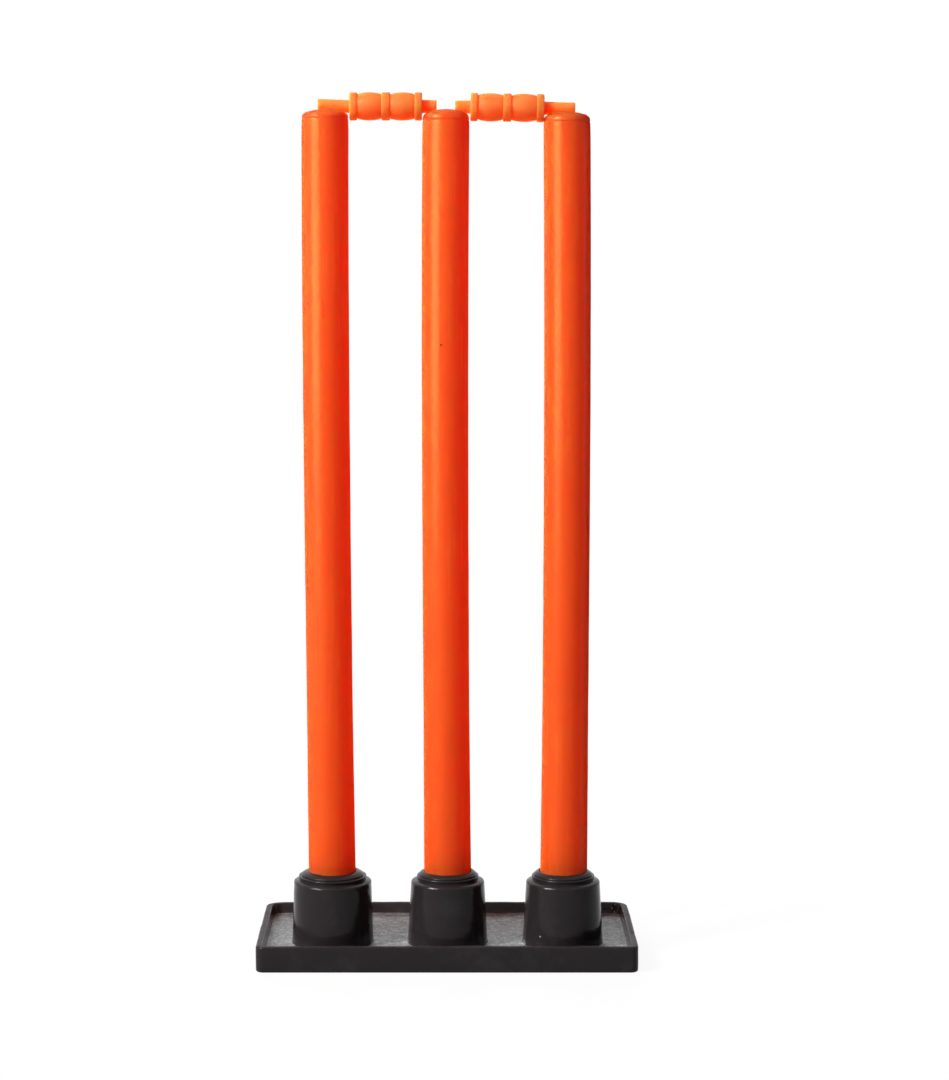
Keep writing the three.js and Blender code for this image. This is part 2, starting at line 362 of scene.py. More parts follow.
class Recipe:
    """The node tree of a material or of the surroundings, emptied and built up again"""

    def __init__(self, tree):
        self.tree = tree
        tree.nodes.clear()

    def node(self, kind, settings=None, inputs=None, output=0):
        """Adds a node with its settings and its sockets' values or links, and gives one output"""
        made = self.tree.nodes.new(kind)
        for name, value in (settings or {}).items():
            setattr(made, name, value)
        for name, value in (inputs or {}).items():
            if isinstance(value, Reading):
                self.tree.links.new(value.socket, made.inputs[name])
            else:
                made.inputs[name].default_value = value
        return Reading(self, made.outputs[output]) if made.outputs else made

    def place(self, stretch=(1, 1, 1)):
        """Object coordinates, with a pattern's scale along each axis"""
        bare = self.node("ShaderNodeTexCoord", output="Object")
        if stretch == (1, 1, 1):
            return bare
        return self.node("ShaderNodeMapping", {}, {"Vector": bare, "Scale": stretch})

    def part(self, axis, vector):
        """One of a vector's three parts"""
        return self.node("ShaderNodeSeparateXYZ", {}, {"Vector": vector}, axis)

    def noise(self, grain, detail, stretch=(1, 1, 1), roughness=0.5, distortion=0.0):
        """Noise whose lumps are about as wide as grain, in metres"""
        inputs = {
            "Vector": self.place(stretch),
            "Scale": 1 / grain,
            "Detail": detail,
            "Roughness": roughness,
            "Distortion": distortion,
        }
        return self.node("ShaderNodeTexNoise", {"noise_dimensions": "3D"}, inputs)

    def specks(self, spacing, radius, share):
        """1 inside scattered specks, which only a share of the cells has"""
        cells = {"Vector": self.place(), "Scale": 1 / spacing}
        near = self.node("ShaderNodeTexVoronoi", {}, cells, "Distance")
        tint = self.node("ShaderNodeTexVoronoi", {}, cells, "Color")
        pick = self.node("ShaderNodeSeparateColor", {}, {"Color": tint})
        chosen = pick.rise(1 - share, 1 - share + SHARP_RISE)
        return near.rise(radius / spacing, SPOT_CORE * radius / spacing) * chosen

    def spots(self, places, radius):
        """1 near each of the given places"""
        found = []
        for place in places:
            away = self.node(
                "ShaderNodeVectorMath", {"operation": "DISTANCE"}, {0: self.place(), 1: place},
                "Value")
            found.append(away.rise(radius, SPOT_CORE * radius))
        return sum(found[1:], found[0])

    def blend(self, amount, first, second):
        """Mixes two colours; a Mix node has its colours at inputs 6 and 7 and output 2"""
        return self.node(
            "ShaderNodeMix", {"data_type": "RGBA"}, {0: amount, 6: rgba(first), 7: rgba(second)}, 2)

    def bump(self, height, depth, onto=None):
        """Bends the normal by a height from 0 to 1 that stands for a depth in metres"""
        inputs = {"Height": height, "Distance": depth, "Strength": 1.0}
        if onto is not None:
            inputs["Normal"] = onto
        return self.node("ShaderNodeBump", {}, inputs)

    def turned_away(self, start, end):
        """0 where the surface faces the viewer, and 1 towards its outline"""
        return self.node("ShaderNodeLayerWeight", {}, {"Blend": 0.5}, "Facing").rise(start, end)

    def surface(self, inputs, bare=None):
        """Ends the tree in a Principled surface, whose gloss is left out where bare is 1"""
        kind = "ShaderNodeBsdfPrincipled"
        settings = {"subsurface_method": "RANDOM_WALK"}
        shader = self.node(kind, settings, inputs)
        if bare is not None:
            dull = self.node(kind, settings, {**inputs, "Specular IOR Level": 0.0})
            shader = self.node("ShaderNodeMixShader", {}, {0: bare, 1: shader, 2: dull})
        self.node("ShaderNodeOutputMaterial", {}, {"Surface": shader})


def start_material(name):
    """A new material and its empty recipe"""
    material = bpy.data.materials.new(name)
    material.use_nodes = True
    return material, Recipe(material.node_tree)


def rgba(value):
    """A colour with its alpha, or a reading as it is"""
    return value if isinstance(value, Reading) else (*value[:3], 1.0)


def seen_rays(recipe):
    """1 for camera, glossy and transmission rays"""
    camera, glossy, through = [
        recipe.node("ShaderNodeLightPath", output=name)
        for name in ("Is Camera Ray", "Is Glossy Ray", "Is Transmission Ray")]
    return camera.larger(glossy).larger(through)


def stump_plastic(colours):
    """Satin orange plastic, streaked along the stump"""
    material, recipe = start_material("stump_plastic")
    streaks = recipe.noise(grain=0.0035, detail=3, stretch=(1, 1, 0.05), roughness=0.6)
    clouds = recipe.noise(grain=0.05, detail=3, stretch=(1, 1, 0.5), roughness=0.55)
    mottle = recipe.noise(grain=0.0045, detail=3, stretch=(1, 1, 0.35), roughness=0.6)
    peel = recipe.noise(grain=0.0011, detail=2)
    dust = recipe.specks(spacing=0.016, radius=0.0003, share=0.3)
    pinholes = recipe.specks(spacing=0.035, radius=0.0007, share=0.16)
    pits = pinholes.larger(recipe.spots(PIT_PLACES, radius=0.0011))

    height = recipe.part("Z", recipe.place())
    rubbed = height.rise(0.0765, 0.0735) * 0.6
    # Painted light: low brightens and reddens each stump from the sockets up to about 0.115 m,
    # standing in for light that reaches the foot
    low = height.rise(0.115, 0.078) * 0.8
    smooth = height.rise(0.674, 0.682)

    paler = streaks.rise(0.35, 0.75) * 0.35 + clouds.rise(0.35, 0.7) * 0.35 + rubbed * 0.3
    body = recipe.blend(paler, colours.stump, colours.stump_pale)
    with_painted_foot_light = recipe.blend(low, body, colours.stump_painted_foot_light)
    marked = recipe.blend(pits * 0.85, with_painted_foot_light, colours.stump_pit)
    dusty = recipe.blend(dust * 0.35, marked, colours.stump_dust)

    normal = recipe.bump(mottle, depth=0.00005)
    normal = recipe.bump(streaks, depth=0.00003, onto=normal)
    normal = recipe.bump(peel, depth=0.000006, onto=normal)
    normal = recipe.bump(1 - pits, depth=0.0003, onto=normal)
    recipe.surface({
        **PLASTIC,
        "Base Color": dusty,
        "Roughness": 0.19 + 0.08 * streaks + 0.06 * clouds + 0.20 * rubbed - 0.12 * smooth,
        "Specular Tint": (1.0, 0.8, 0.22, 1.0),
        "Subsurface Radius": (1.0, 0.004, 0.35),
        "Subsurface Scale": 0.07,
        "Normal": normal,
    }, recipe.turned_away(0.25, 0.6))
    return material


def bail_plastic(colours):
    """The bails' paler orange plastic"""
    material, recipe = start_material("bail_plastic")
    clouds = recipe.noise(grain=0.012, detail=3)
    flow = recipe.noise(grain=0.004, detail=3, stretch=(0.25, 1, 1), roughness=0.6)
    fine = recipe.noise(grain=0.0012, detail=2)
    dust = recipe.specks(spacing=0.007, radius=0.00025, share=0.3)

    deeper = clouds.rise(0.3, 0.75) * 0.4 + flow.rise(0.4, 0.7) * 0.15
    body = recipe.blend(deeper, colours.bail, colours.bail_deep)
    dusty = recipe.blend(dust * 0.4, body, colours.bail_dust)

    normal = recipe.bump(flow, depth=0.00005)
    normal = recipe.bump(fine, depth=0.00001, onto=normal)
    recipe.surface({
        **PLASTIC,
        "Base Color": dusty,
        "Roughness": 0.34 + 0.14 * clouds,
        "Specular Tint": (1.0, 0.8, 0.5, 1.0),
        "Subsurface Radius": (1.0, 0.3, 0.15),
        "Subsurface Scale": 0.06,
        "Normal": normal,
    }, recipe.turned_away(0.3, 0.7))
    return material


def base_rubber(colours):
    """Black rubber with a dull gloss, with dust and painted sheen where it faces up"""
    material, recipe = start_material("base_rubber")
    clouds = recipe.noise(grain=0.030, detail=4, roughness=0.6)
    flow = recipe.noise(
        grain=0.006, detail=4, stretch=(0.5, 1, 1), roughness=0.65, distortion=0.8)
    grain = recipe.noise(grain=0.0016, detail=3, roughness=0.6)
    marks = recipe.noise(
        grain=0.0034, detail=4, stretch=(0.8, 1, 1), roughness=0.65, distortion=1.5)
    marks = marks.rise(0.46, 0.57)
    specks = recipe.specks(spacing=0.012, radius=0.0005, share=0.12)
    film = recipe.spots(FILM_PLACES, radius=0.0055) * grain.rise(0.42, 0.58)
    crumbs = recipe.spots(CRUMB_PLACES, radius=0.0009)
    nick = recipe.spots(NICK_PLACES, radius=0.0018)

    facing = recipe.node("ShaderNodeTexCoord", output="Normal")
    upward = recipe.part("Z", facing).rise(0.75, 0.97)
    height = recipe.part("Z", recipe.place())
    # Dust and painted sheen: the tray floor is painted pale grey, partly for dust and partly for
    # the sheen it shows at a low angle
    settled_dust_and_sheen = upward * height.rise(0.0200, 0.0165)
    rim = upward * height.rise(0.0195, 0.0207) * height.rise(0.030, 0.022)

    dust = settled_dust_and_sheen * (0.14 + 0.60 * marks + 0.22 * flow.rise(0.3, 0.7) + 0.20 * clouds)
    dusty = recipe.blend(dust, colours.rubber, colours.rubber_dust_and_sheen)
    bloomed = recipe.blend(clouds.rise(0.45, 0.8) * 0.05, dusty, colours.rubber_dust_and_sheen)
    speckled = recipe.blend(specks * 0.35, bloomed, colours.rubber_speck)
    littered = recipe.blend((film * 0.75).larger(crumbs), speckled, colours.rubber_film)

    normal = recipe.bump(clouds, depth=0.0004)
    normal = recipe.bump(flow, depth=0.0001, onto=normal)
    normal = recipe.bump(grain, depth=0.00003, onto=normal)
    normal = recipe.bump(marks * (settled_dust_and_sheen + rim), depth=0.00022, onto=normal)
    normal = recipe.bump(1 - nick, depth=0.0006, onto=normal)
    dull = 0.20 * settled_dust_and_sheen + rim * (0.15 + 0.35 * grain) + 0.5 * nick
    recipe.surface({
        **RUBBER,
        "Base Color": littered,
        "Roughness": 0.07 + 0.06 * flow + 0.05 * grain + dull,
        "Normal": normal,
    })
    return material


def studio_floor(colours):
    """White to the camera and to reflections, with a faint shadow; plain pale to the light"""
    material, recipe = start_material("studio_floor")
    seen = seen_rays(recipe)
    across = recipe.part("X", recipe.place())
    along = recipe.part("Y", recipe.place())
    away = (across * across + along * along).rise(0.03, 0.25)
    shown = recipe.blend(seen, colours.floor, (1, 1, 1))
    plain = recipe.node("ShaderNodeBsdfDiffuse", {}, {"Color": shown})
    white = recipe.node("ShaderNodeEmission", {}, {"Strength": 1.0})
    share = seen * (0.92 + 0.08 * away)
    surface = recipe.node("ShaderNodeMixShader", {}, {0: share, 1: plain, 2: white})
    recipe.node("ShaderNodeOutputMaterial", {}, {"Surface": surface})
    return material


# Shapes

def arc(across, up, radius, start, end, steps):
    """Points of a round corner, from one angle in degrees to another"""
    angles = [math.radians(start + (end - start) * i / steps) for i in range(steps + 1)]
    return [(across + radius * math.cos(a), up + radius * math.sin(a)) for a in angles]


def run(first, last, step):
    """Points along a straight line, the first left out, no further apart than a step"""
    (a, b), (c, d) = first, last
    count = max(1, math.ceil(math.hypot(c - a, d - b) / step))
    return [(a + (c - a) * i / count, b + (d - b) * i / count) for i in range(1, count + 1)]


def bulge(first, last, height, steps):
    """Points from one to another, the first left out, that stand out to the right of the way"""
    (a, b), (c, d) = first, last
    far = math.hypot(c - a, d - b)
    points = []
    for i in range(1, steps + 1):
        part = i / steps
        out = 4 * height * part * (1 - part) / far
        points.append((a + (c - a) * part + (d - b) * out, b + (d - b) * part - (c - a) * out))
    return points


def dip(away, width):
    """1 at the bottom of a crease, and less away from it"""
    return math.exp(-(away / width) ** 2)


def soft_min(a, b, blend):
    """The lower of two heights, rounded where they cross"""
    near = max(blend - abs(a - b), 0.0) / blend
    return min(a, b) - near * near * blend / 4


def revolve(mesh, outline, centre, steps):
    """Spins an outline of distances from the axis and heights, and gives its new vertices"""
    known = set(mesh.verts)
    verts = [
        mesh.verts.new((centre.x + across, centre.y, centre.z + up)) for across, up in outline]
    edges = [mesh.edges.new(pair) for pair in zip(verts, verts[1:])]
    bmesh.ops.spin(
        mesh, geom=verts + edges, cent=centre, axis=UP, angle=FULL_TURN, steps=steps,
        use_merge=True)
    return [v for v in mesh.verts if v not in known]


def under_seam(sizes, outward):
    """How far the surface lies under the mould seam that runs along both its sides"""
    angle = math.atan2(abs(outward.y), abs(outward.x))
    return 0.0 if angle < math.pi / sizes.segments else sizes.seam_height


def ruffle(verts, depth, lump, limit=None):
    """Moves vertices a little in soft lumps, the same ones each time"""
    noise.seed_set(LUMP_SEED)
    for v in verts:
        amount = depth if limit is None else depth * limit(v.co)
        v.co += amount * noise.noise_vector(v.co / lump)


def round_edges(mesh, edges, radius, segments):
    """Rounds edges with a bevel"""
    bmesh.ops.bevel(
        mesh, geom=edges, offset=radius, segments=segments, profile=0.5, affect="EDGES",
        material=-1)


def settle(mesh, name, material, body, node, sharp):
    """Makes the mesh a shown piece that rides on its body and stands for its node"""
    bmesh.ops.remove_doubles(mesh, verts=mesh.verts, dist=MERGE_DISTANCE)
    bmesh.ops.recalc_face_normals(mesh, faces=mesh.faces)
    data = bpy.data.meshes.new(name)
    mesh.to_mesh(data)
    mesh.free()
    data.shade_smooth()
    data.set_sharp_from_angle(angle=math.radians(sharp))
    data.materials.append(material)
    piece = bpy.data.objects.new(name, data)
    bpy.context.scene.collection.objects.link(piece)
    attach(piece, body)
    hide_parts(node)
    return piece


def stump_outline(sizes, height, corner):
    """A stump from its blow hole round to the top of its dome; the hollow inside is left out"""
    foot = sizes.foot_radius
    shaft = sizes.shaft_radius
    edge = sizes.foot_edge
    hole = sizes.hole_radius
    across = shaft - sizes.crown_taper - corner
    centre = height - sizes.crown_radius
    tilt = math.degrees(math.asin(across / (sizes.crown_radius - corner)))
    up = centre + (sizes.crown_radius - corner) * math.cos(math.radians(tilt))

    points = [(0, sizes.hole_depth)]
    points += run(points[-1], (hole * HOLE_END, sizes.hole_depth), sizes.ring_step)
    points += run(points[-1], (hole, edge), sizes.ring_step)
    points += arc(hole + edge, edge, edge, 180, 270, steps=4)[1:]
    points += run(points[-1], (foot - edge, 0), sizes.ring_step)
    points += arc(foot - edge, edge, edge, 270, 360, steps=4)[1:]
    points += run(points[-1], (foot, sizes.flare_start), sizes.ring_step)
    count = round(sizes.flare_height / sizes.ring_step)
    for i in range(1, count + 1):
        part = i / count
        points.append((
            shaft + (foot - shaft) * (1 - part) ** FLARE_CURVE,
            sizes.flare_start + sizes.flare_height * part))
    points += run(points[-1], (shaft, up - TAPER_HEIGHT), sizes.ring_step)
    for i in range(1, TAPER_STEPS + 1):
        part = i / TAPER_STEPS
        below = (1 - part) * TAPER_HEIGHT
        crease = sizes.crown_crease * dip(below - LOW_CREASE, LOW_CREASE_WIDTH)
        points.append((shaft - sizes.crown_taper * part ** 2 - crease, up - below))
    for i, (a, b) in enumerate(arc(across, up, corner, 0, 90 - tilt, CORNER_STEPS)[1:]):
        crease = sizes.crown_crease * dip(i - HIGH_CREASE, HIGH_CREASE_WIDTH)
        turn = math.atan2(b - up, a - across)
        points.append((a - crease * math.cos(turn), b - crease * math.sin(turn)))
    points += arc(0, centre, sizes.crown_radius, 90 - tilt, 90, DOME_STEPS)[1:]
    points[-1] = (0, height)
    return points


def build_stump(sizes, place, side):
    """One stump in its socket, with its mould seams, slightly bent as the real ones are"""
    low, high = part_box(side + "_stump")
    centre = Vector(((low.x + high.x) / 2, (low.y + high.y) / 2, low.z))
    top = high.z + sizes.crown_rise[place]
    corner = sizes.crown_corner[place]
    mesh = bmesh.new()
    revolve(mesh, stump_outline(sizes, top - low.z, corner), centre, sizes.segments)
    bmesh.ops.remove_doubles(mesh, verts=mesh.verts, dist=MERGE_DISTANCE)

    seam_end = top - corner - sizes.seam_gap
    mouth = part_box("rubber_base")[1].z
    hole_side = sizes.hole_radius * HOLE_SIDE_MARGIN
    hole_top = centre.z + sizes.hole_depth * HOLE_TOP_MARGIN
    for v in mesh.verts:
        outward = Vector((v.co.x - centre.x, v.co.y - centre.y, 0))
        in_hole = outward.length < hole_side and v.co.z < hole_top
        if v.co.z < seam_end and not in_hole:
            lump = noise.noise(v.co / HOLLOW_WIDTH) * sizes.waviness
            v.co += outward.normalized() * (lump - under_seam(sizes, outward))
        share = max(0.0, (v.co.z - mouth) / (high.z - mouth))
        wave = max(0.0, math.sin(math.pi * min(1.0, share) ** BOW_LIFT))
        bent = sizes.bow[place] * wave ** BOW_FULLNESS
        v.co.x += sizes.row_shift[place] + sizes.lean[place] * share + bent
    return mesh, top


def cut_groove(mesh, top, axis, radius, blend):
    """Presses the round groove for a bail across the crown"""
    for v in mesh.verts:
        if v.co.z < top - CROWN_REACH:
            continue
        aside = abs(v.co.y - axis.y)
        if aside < radius:
            level = axis.z - math.sqrt(radius ** 2 - aside ** 2)
        else:
            level = axis.z + (aside - radius) * GROOVE_SLOPE
        v.co.z = soft_min(v.co.z, level, blend)


def ring_points(sizes, left, width):
    """A raised ring of a bail, from its left edge on"""
    edge = sizes.ring_edge
    across = sizes.ring_radius - edge
    right = left + width
    points = arc(across, left + edge, edge, -90, 0, steps=5)
    points += [(sizes.ring_radius, (left + right) / 2)]
    return points + arc(across, right - edge, edge, 0, 90, steps=5)


def belly_points(sizes, left, width):
    """A belly of a bail between two creases, from its left edge on"""
    crease = (sizes.waist_radius - sizes.crease, left)
    points = [crease]
    for i in range(1, BELLY_STEPS):
        part = i / BELLY_STEPS
        swell = sizes.belly_swell * math.sin(math.pi * part) ** BELLY_FULLNESS
        ends = math.exp(-part * CREASE_SHARPNESS) + math.exp(-(1 - part) * CREASE_SHARPNESS)
        points.append((sizes.waist_radius + swell - sizes.crease * ends, left + width * part))
    return points + [(crease[0], left + width)]


def bail_outline(sizes, place, low, high):
    """Spigots, rings and bellies of a bail, as distance from its axis and place along it"""
    start = low + sizes.long_spigot[place]
    end = high - sizes.short_spigot[place]
    middle = (start + end) / 2
    edge = sizes.spigot_edge
    root = sizes.root_fillet
    spigot = sizes.spigot_radius
    belly = (end - start - 2 * sizes.end_ring - sizes.middle_ring) / 2

    points = [(0, low)]
    points += run(points[0], (spigot * LONG_END - edge, low), END_STEP)
    points += arc(spigot * LONG_END - edge, low + edge, edge, -90, 0, steps=4)[1:]
    points += run(points[-1], (spigot, start - root), SPIGOT_STEP)
    points += arc(spigot + root, start - root, root, 180, 90, steps=4)[1:]
    points += ring_points(sizes, start, sizes.end_ring)
    points += belly_points(sizes, start + sizes.end_ring, belly)
    points += ring_points(sizes, middle - sizes.middle_ring / 2, sizes.middle_ring)
    points += belly_points(sizes, middle + sizes.middle_ring / 2, belly)
    points += ring_points(sizes, end - sizes.end_ring, sizes.end_ring)
    points += arc(spigot + root, end + root, root, 270, 180, steps=4)
    points += run(points[-1], (spigot * SHORT_END, high - edge), SPIGOT_STEP)
    points += arc(spigot * SHORT_END - edge, high - edge, edge, 0, 90, steps=4)[1:]
    points += run(points[-1], (0, high), END_STEP)
    points[-1] = (0, high)
    return points


def build_bail(sizes, place, side, material):
    """One bail, lying along the row with its long spigot on the outer stump"""
    node = side + "_bail"
    low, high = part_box(node)
    half = (high.x - low.x + sizes.stretch[place]) / 2
    mesh = bmesh.new()
    revolve(mesh, bail_outline(sizes, place, -half, half), Vector(), sizes.segments)
    bmesh.ops.remove_doubles(mesh, verts=mesh.verts, dist=MERGE_DISTANCE)
    long_spigot = sizes.long_spigot[place]
    for v in mesh.verts:
        outward = Vector((v.co.x, v.co.y, 0))
        if outward.length > sizes.spigot_radius * SEAM_REACH:
            v.co -= outward.normalized() * under_seam(sizes, outward)
        beyond = max(0.0, long_spigot - half - v.co.z) / long_spigot
        v.co.x -= sizes.bend[place] * beyond ** BEND_CURVE

    inner = sizes.inner_drop[place]
    outer = sizes.outer_drop[place]
    slope = Matrix.Rotation(math.atan2(inner - outer, 2 * half), 4, "Y")
    lay = Matrix.Rotation(math.radians(90), 4, "Y")
    if side == "right":
        lay = Matrix.Rotation(math.pi, 4, "Z") @ lay
        slope.transpose()
    centre = (low + high) / 2
    centre.x += sizes.shift[place]
    centre.z -= (inner + outer) / 2
    bmesh.ops.transform(
        mesh, matrix=Matrix.Translation(centre) @ slope @ lay, verts=mesh.verts)
    ruffle(mesh.verts, BAIL_UNEVENNESS, BAIL_LUMP)
    return settle(mesh, "bail_" + side, material, node, node, sharp=40)


def socket_outline(sizes):
    """A socket from the tray floor over its shoulder and two-roll lip, and down its bore"""
    foot = sizes.foot_radius
    fillet = sizes.foot_fillet
    turn = sizes.shoulder_round
    lip = sizes.lip_radius
    back = lip - sizes.roll_step
    roll = sizes.roll
    inner = sizes.bore_radius
    points = arc(foot + fillet, sizes.floor + fillet, fillet, 270, 183, steps=6)
    points += run(points[-1], (sizes.shoulder_radius, sizes.shoulder_start), WALL_STEP)
    points += arc(
        sizes.shoulder_radius - turn, sizes.shoulder_start, turn, 0, 35, steps=5)[1:]
    points += bulge(
        points[-1], (sizes.ridge_radius, sizes.ridge_height), SHOULDER_BULGE, steps=6)
    points += bulge(points[-1], (lip - LIP_TUCK, sizes.lip_foot), LEDGE_BULGE, steps=5)
    points += arc(lip - roll, sizes.lip_crease - roll, roll, -40, 100, steps=10)
    points += [(back - ROLL_TUCK, sizes.lip_crease)]
    points += arc(back - roll, sizes.lip_crease + roll, roll, -30, 60, steps=7)
    points += bulge(points[-1], (inner + LIP_EDGE, sizes.lip_top), sizes.lip_dome, steps=10)
    points += arc(
        inner + LIP_EDGE, sizes.lip_top - LIP_EDGE, LIP_EDGE, 90, 180, steps=4)[1:]
    points += run(points[-1], (inner, sizes.bore_floor + BORE_EDGE), WALL_STEP)
    points += arc(
        inner - BORE_EDGE, sizes.bore_floor + BORE_EDGE, BORE_EDGE, 0, -90, steps=3)[1:]
    points += run(points[-1], (0, sizes.bore_floor), WALL_STEP)
    points[-1] = (0, sizes.bore_floor)
    return points


def spread_socket(sizes, verts, centre, spread):
    """Widens a socket's wall, most at its lip, and leaves its bore as it is"""
    at_foot, up_wall, at_lip = SPREAD_SHARES
    for v in verts:
        outward = Vector((v.co.x - centre.x, v.co.y - centre.y, 0))
        wall = (outward.length - sizes.bore_radius) / (sizes.lip_radius - sizes.bore_radius)
        rise = (v.co.z - sizes.floor) / (sizes.shoulder_start - sizes.floor)
        lip = (v.co.z - sizes.shoulder_start) / (sizes.lip_foot - sizes.shoulder_start)
        wall, rise, lip = [min(1.0, max(0.0, part)) for part in (wall, rise, lip)]
        share = wall * (at_foot + up_wall * rise + at_lip * lip)
        v.co += outward.normalized() * spread * share


def build_slab(mesh, sizes, low, high):
    """The slab with its rim and tray; gives the edges round the tray's floor, which is left out"""
    width = high.x - low.x - 2 * sizes.side_slack
    depth = high.y - low.y - 2 * sizes.side_slack
    bmesh.ops.create_cube(mesh, size=1.0)
    bmesh.ops.scale(mesh, vec=(width, depth, sizes.height), verts=mesh.verts)
    bmesh.ops.translate(mesh, vec=(0, 0, sizes.height / 2), verts=mesh.verts)
    for radius, front in ((sizes.front_corner, True), (sizes.back_corner, False)):
        upright = [
            e for e in mesh.edges
            if abs(e.verts[0].co.z - e.verts[1].co.z) > sizes.height / 2
            and (e.verts[0].co.y < 0) == front]
        round_edges(mesh, upright, radius, segments=10)

    top = max(mesh.faces, key=lambda f: f.calc_center_median().z)
    bmesh.ops.inset_region(mesh, faces=[top], thickness=sizes.rim, use_even_offset=True)
    made = bmesh.ops.extrude_face_region(mesh, geom=[top])["geom"]
    floor_verts = [g for g in made if isinstance(g, bmesh.types.BMVert)]
    bmesh.ops.translate(mesh, vec=(0, 0, sizes.floor - sizes.height), verts=floor_verts)
    tray_width = width - 2 * sizes.rim
    tray_depth = depth - 2 * sizes.rim
    narrowed = (1 - 2 * sizes.draft / tray_width, 1 - 2 * sizes.draft / tray_depth, 1)
    bmesh.ops.scale(mesh, vec=narrowed, verts=floor_verts)
    bmesh.ops.delete(mesh, geom=[top], context="FACES_ONLY")

    level = [
        e for e in mesh.edges if abs(e.verts[0].co.z - e.verts[1].co.z) < MERGE_DISTANCE]
    sharp = [
        e for e in level if len(e.link_faces) == 2 and e.calc_face_angle() > CREASE_ANGLE]
    foot = [e for e in sharp if abs(e.verts[0].co.z - sizes.floor) < MERGE_DISTANCE]
    round_edges(mesh, [e for e in sharp if e not in foot], sizes.edge, segments=4)
    round_edges(mesh, [e for e in foot if e.is_valid], sizes.tray_edge, segments=2)
    floor = max((f for f in mesh.faces if f.normal.z > 0), key=lambda f: f.calc_area())
    edges = list(floor.edges)
    bmesh.ops.delete(mesh, geom=[floor], context="FACES_ONLY")
    return edges


def grid_cuts(mesh, faces, step, low, high):
    """Cuts faces along even planes, so that the slab can be uneven"""
    geom = list({part for f in faces for part in [f, *f.edges, *f.verts]})
    for axis in range(3):
        count = round((high[axis] - low[axis]) / step)
        for i in range(1, count):
            point = Vector(low)
            point[axis] = low[axis] + (high[axis] - low[axis]) * i / count
            normal = Vector((0, 0, 0))
            normal[axis] = 1
            geom = bmesh.ops.bisect_plane(
                mesh, geom=geom, dist=MERGE_DISTANCE, plane_co=point, plane_no=normal)["geom"]


def loose(co):
    """How free of the ground, where the base lies flat, a place is"""
    return min(1.0, co.z / LOOSE_HEIGHT)


def build_base(sizes, material):
    """The rubber base: slab, tray and three sockets in one closed moulding"""
    low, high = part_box("rubber_base")
    mesh = bmesh.new()
    loops = build_slab(mesh, sizes, low, high)
    slab_faces = set(mesh.faces)
    for place, side in enumerate(SIDES):
        near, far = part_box(side + "_stump")
        centre = Vector(((near.x + far.x) / 2 + sizes.row_shift[place], (near.y + far.y) / 2, 0))
        known = set(mesh.edges)
        made = revolve(mesh, socket_outline(sizes), centre, sizes.segments)
        spread_socket(sizes, made, centre, sizes.spread[place])
        bmesh.ops.remove_doubles(mesh, verts=made, dist=MERGE_DISTANCE)
        loops += [e for e in mesh.edges if e not in known and e.is_boundary]
    filled = bmesh.ops.triangle_fill(
        mesh, use_beauty=True, use_dissolve=False, edges=loops, normal=UP)["geom"]
    slab_faces |= {g for g in filled if isinstance(g, bmesh.types.BMFace)}
    grid_cuts(mesh, slab_faces, sizes.cell, (low.x, low.y, 0), (high.x, high.y, sizes.height))

    for v in mesh.verts:
        forward = min(0.0, v.co.y) / low.y
        v.co.x -= math.copysign(sizes.pinch, v.co.x) * forward ** 2
    for share, lump in BASE_LUMPS:
        ruffle(mesh.verts, sizes.unevenness * share, lump, loose)
    return settle(
        mesh, "base_moulding", material, "base", "rubber_base", sharp=50)


# Operators

class WICKET_OT_base(bpy.types.Operator):
    """Moulds the rubber base with its tray and sockets"""

    bl_idname = "wicket.base"
    bl_label = "Rubber base"

    def execute(self, context):
        scene = context.scene
        build_base(scene.base_sizes, base_rubber(scene.finish_colours))
        return {"FINISHED"}


class WICKET_OT_stumps(bpy.types.Operator):
    """Moulds the three stumps"""

    bl_idname = "wicket.stumps"
    bl_label = "Stumps"

    def execute(self, context):
        scene = context.scene
        sizes = scene.stump_sizes
        bails = scene.bail_sizes
        material = stump_plastic(scene.finish_colours)
        near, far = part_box("left_bail")
        axis = (near + far) / 2
        for place, side in enumerate(SIDES):
            mesh, top = build_stump(sizes, place, side)
            axis.z = (near.z + far.z) / 2 - (bails.outer_drop[1] if side == "right" else 0.0)
            groove_radius = bails.spigot_radius + sizes.groove_gap
            cut_groove(mesh, top, axis, groove_radius, sizes.groove_blend)
            node = side + "_stump"
            settle(mesh, "stump_" + side, material, node, node, sharp=60)
        return {"FINISHED"}


class WICKET_OT_bails(bpy.types.Operator):
    """Moulds the two bails"""

    bl_idname = "wicket.bails"
    bl_label = "Bails"

    def execute(self, context):
        scene = context.scene
        material = bail_plastic(scene.finish_colours)
        for place, side in enumerate(("left", "right")):
            build_bail(scene.bail_sizes, place, side, material)
        return {"FINISHED"}


def add_lamp(name, power, place, aim, width, tall):
    """A soft rectangular lamp that faces a point and isn't itself seen"""
    lamp = bpy.data.lights.new(name, "AREA")
    lamp.shape = "RECTANGLE"
    lamp.size = width
    lamp.size_y = tall
    lamp.energy = power
    lantern = bpy.data.objects.new(name, lamp)
    lantern.location = place
    toward = Vector(aim) - Vector(place)
    lantern.rotation_euler = toward.to_track_quat("-Z", "Y").to_euler()
    lantern.visible_camera = False
    bpy.context.scene.collection.objects.link(lantern)
    return lantern


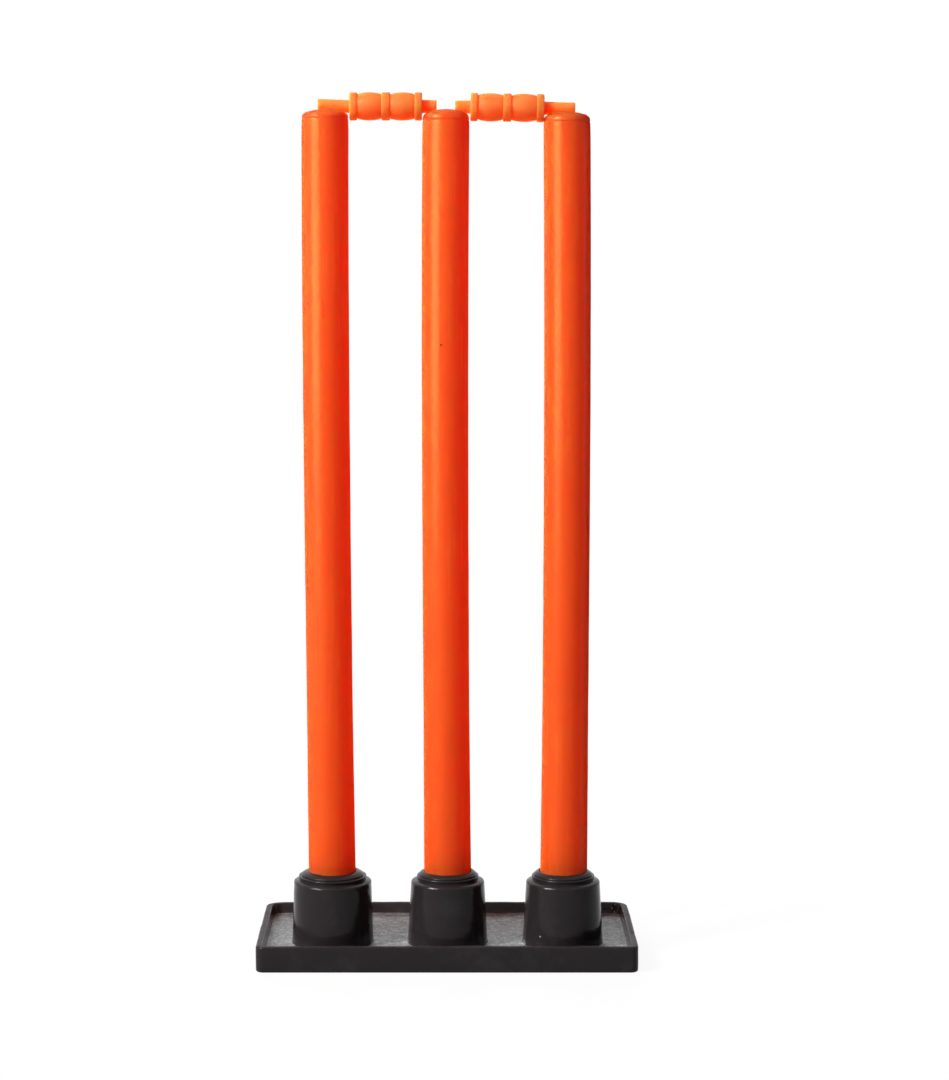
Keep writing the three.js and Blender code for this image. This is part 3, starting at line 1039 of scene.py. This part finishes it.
class WICKET_OT_stage(bpy.types.Operator):
    """Sets up the floor, the lamps, the white surroundings and the camera"""

    bl_idname = "wicket.stage"
    bl_label = "Stage"

    def execute(self, context):
        scene = context.scene
        stage = scene.stage_settings
        low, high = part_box("middle_stump")
        row = (low + high) / 2

        mesh = bmesh.new()
        bmesh.ops.create_grid(mesh, x_segments=1, y_segments=1, size=stage.floor_size / 2)
        bmesh.ops.translate(mesh, vec=(0, 0, -FLOOR_GAP), verts=mesh.verts)
        data = bpy.data.meshes.new("studio_floor")
        mesh.to_mesh(data)
        mesh.free()
        data.materials.append(studio_floor(scene.finish_colours))
        floor = bpy.data.objects.new("studio_floor", data)
        scene.collection.objects.link(floor)

        key = add_lamp("key_lamp", stage.key_power, **KEY_LAMP)
        sheen = add_lamp("sheen_lamp", stage.sheen_power, **SHEEN_LAMP)
        sheen.visible_diffuse = False
        back = add_lamp("back_lamp", stage.back_power, **BACK_LAMP)
        back.visible_glossy = False

        world = bpy.data.worlds.new("white_surroundings")
        world.use_nodes = True
        scene.world = world
        recipe = Recipe(world.node_tree)
        light, shown = [
            recipe.node(
                "ShaderNodeBackground", {}, {"Color": (1, 1, 1, 1), "Strength": strength})
            for strength in (stage.ambient, 1.0)]
        surface = recipe.node(
            "ShaderNodeMixShader", {}, {0: seen_rays(recipe), 1: light, 2: shown})
        recipe.node("ShaderNodeOutputWorld", {}, {"Surface": surface})

        lens = bpy.data.cameras.new("camera")
        lens.lens = stage.camera_lens
        lens.sensor_width = SENSOR_WIDTH
        lens.shift_x = stage.camera_cross
        lens.shift_y = stage.camera_rise
        camera = bpy.data.objects.new("camera", lens)
        camera.location = (
            stage.camera_side, row.y - stage.camera_distance, stage.camera_height)
        camera.rotation_euler = (math.radians(90) - stage.camera_pitch, 0, 0)
        scene.collection.objects.link(camera)
        scene.camera = camera
        scene.view_settings.view_transform = "Standard"
        return {"FINISHED"}


class WICKET_PT_panel(bpy.types.Panel):
    """Lists the operators, the sizes and the colours"""

    bl_idname = "WICKET_PT_panel"
    bl_label = "Cricket stumps"
    bl_space_type = "VIEW_3D"
    bl_region_type = "UI"
    bl_category = "Stumps"

    def draw(self, context):
        layout = self.layout
        for operator in OPERATORS:
            layout.operator(operator.bl_idname)
        for name, kind in GROUPS.items():
            group = getattr(context.scene, name)
            layout.label(text=kind.__doc__)
            for field in kind.__annotations__:
                layout.prop(group, field)


GROUPS = {
    "base_sizes": BaseSizes,
    "stump_sizes": StumpSizes,
    "bail_sizes": BailSizes,
    "finish_colours": FinishColours,
    "stage_settings": StageSettings,
}
OPERATORS = (WICKET_OT_base, WICKET_OT_stumps, WICKET_OT_bails, WICKET_OT_stage)
CLASSES = (*GROUPS.values(), *OPERATORS, WICKET_PT_panel)


def register():
    for cls in CLASSES:
        bpy.utils.register_class(cls)
    for name, group in GROUPS.items():
        setattr(bpy.types.Scene, name, PointerProperty(type=group))


def unregister():
    for name in GROUPS:
        delattr(bpy.types.Scene, name)
    for cls in reversed(CLASSES):
        bpy.utils.unregister_class(cls)


def main():
    register()
    bpy.ops.wicket.base()
    bpy.ops.wicket.stumps()
    bpy.ops.wicket.bails()
    bpy.ops.wicket.stage()


if __name__ == "__main__":
    main()
